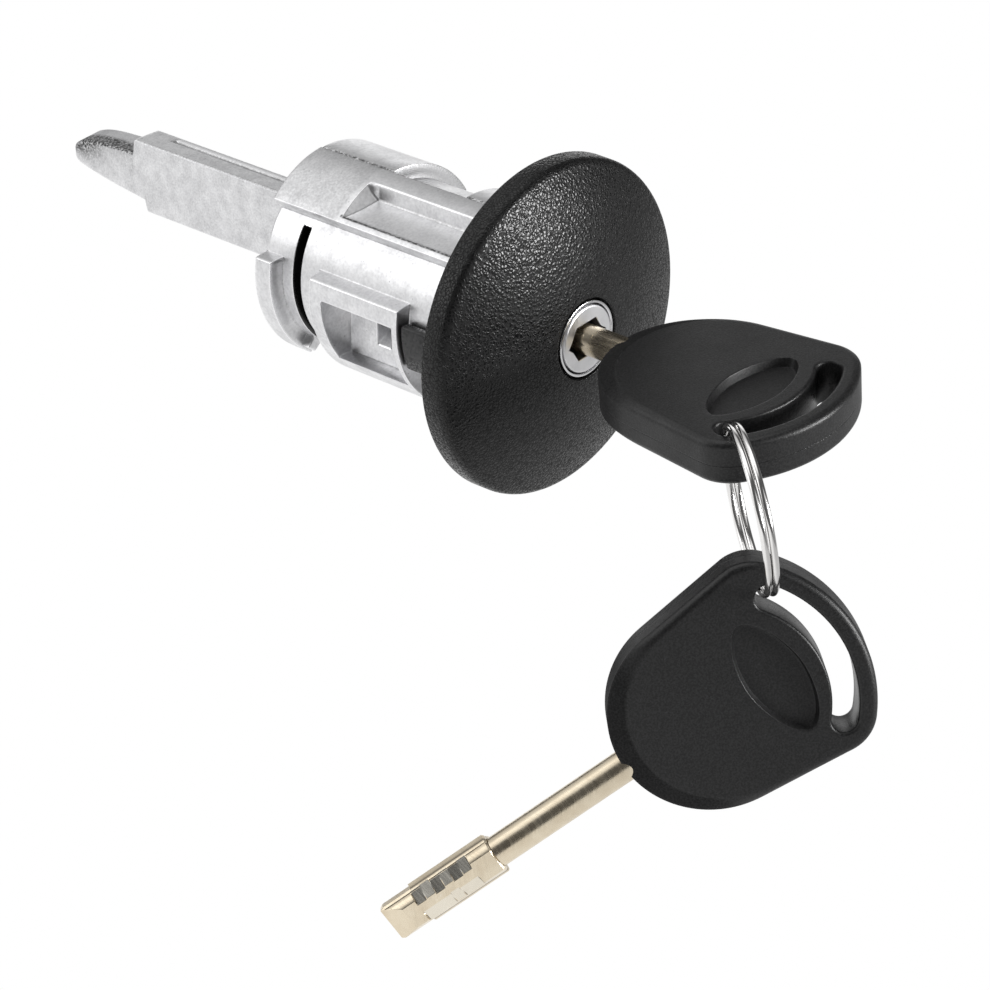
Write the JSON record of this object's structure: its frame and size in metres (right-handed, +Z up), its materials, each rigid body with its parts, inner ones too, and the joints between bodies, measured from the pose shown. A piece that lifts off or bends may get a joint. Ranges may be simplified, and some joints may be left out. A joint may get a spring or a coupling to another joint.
{
  "type": "car door lock cylinder",
  "caption": "Turning door lock barrel with a round black dome cover, a long flat tailpiece, a key in its keyway and a spare key hanging on a split ring.",
  "frame": {"origin": "on the lock's turning axis, in the plane of the dome's back rim, which seats on the door skin", "axes": "+Y along the lock axis from the key side to the tail, +Z up, +X to the right seen from the key side"},
  "size_m": [0.0865, 0.1734, 0.0937],
  "materials": {
    "zinc": "satin die-cast zinc",
    "black": "moulded black with a leather grain",
    "steel": "turned steel",
    "brass": "stamped brass",
    "nickel": "milled nickel silver",
    "head": "moulded matt black",
    "ring": "bright plated steel wire",
    "spring": "dark spring steel"
  },
  "bodies": {
    "housing": {"housing_barrel": "zinc", "dome_cover": "black", "face_ferrule": "steel", "retaining_clip": "spring"},
    "plug": {"plug_carrier": "zinc", "face_disc": "steel", "disc_1": "brass", "disc_2": "brass", "disc_3": "brass", "disc_4": "brass", "disc_5": "brass", "disc_6": "brass", "spacer_1": "steel", "spacer_2": "steel", "spacer_3": "steel", "spacer_4": "steel", "spacer_5": "steel", "sidebar": "steel", "tailpiece": "zinc"},
    "key1": {"key1_blade": "nickel", "key1_shell_front": "head", "key1_shell_back": "head"},
    "ring": {"split_ring": "ring"},
    "key2": {"key2_blade": "nickel", "key2_shell_front": "head", "key2_shell_back": "head"}
  },
  "joints": [
    {"name": "plug_turn", "type": "hinge", "parent": "housing", "child": "plug", "pos_m": [0, 0, 0], "axis": [0, 1, 0], "range_deg": [-60, 60]},
    {"name": "key_slide", "type": "slide", "parent": "plug", "child": "key1", "axis": [0, -1, 0], "range_m": [0, 0.046]},
    {"name": "ring_swing", "type": "hinge", "parent": "key1", "child": "ring", "pos_m": [-0.01334, -0.04716, -0.00145], "axis": [0.769, -0.6178, 0.1643], "range_deg": [-45, 0]},
    {"name": "key2_swing", "type": "hinge", "parent": "ring", "child": "key2", "pos_m": [-0.01746, -0.05643, -0.01706], "axis": [-0.7122, -0.6814, 0.1688], "range_deg": [-35, 25]}
  ]
}
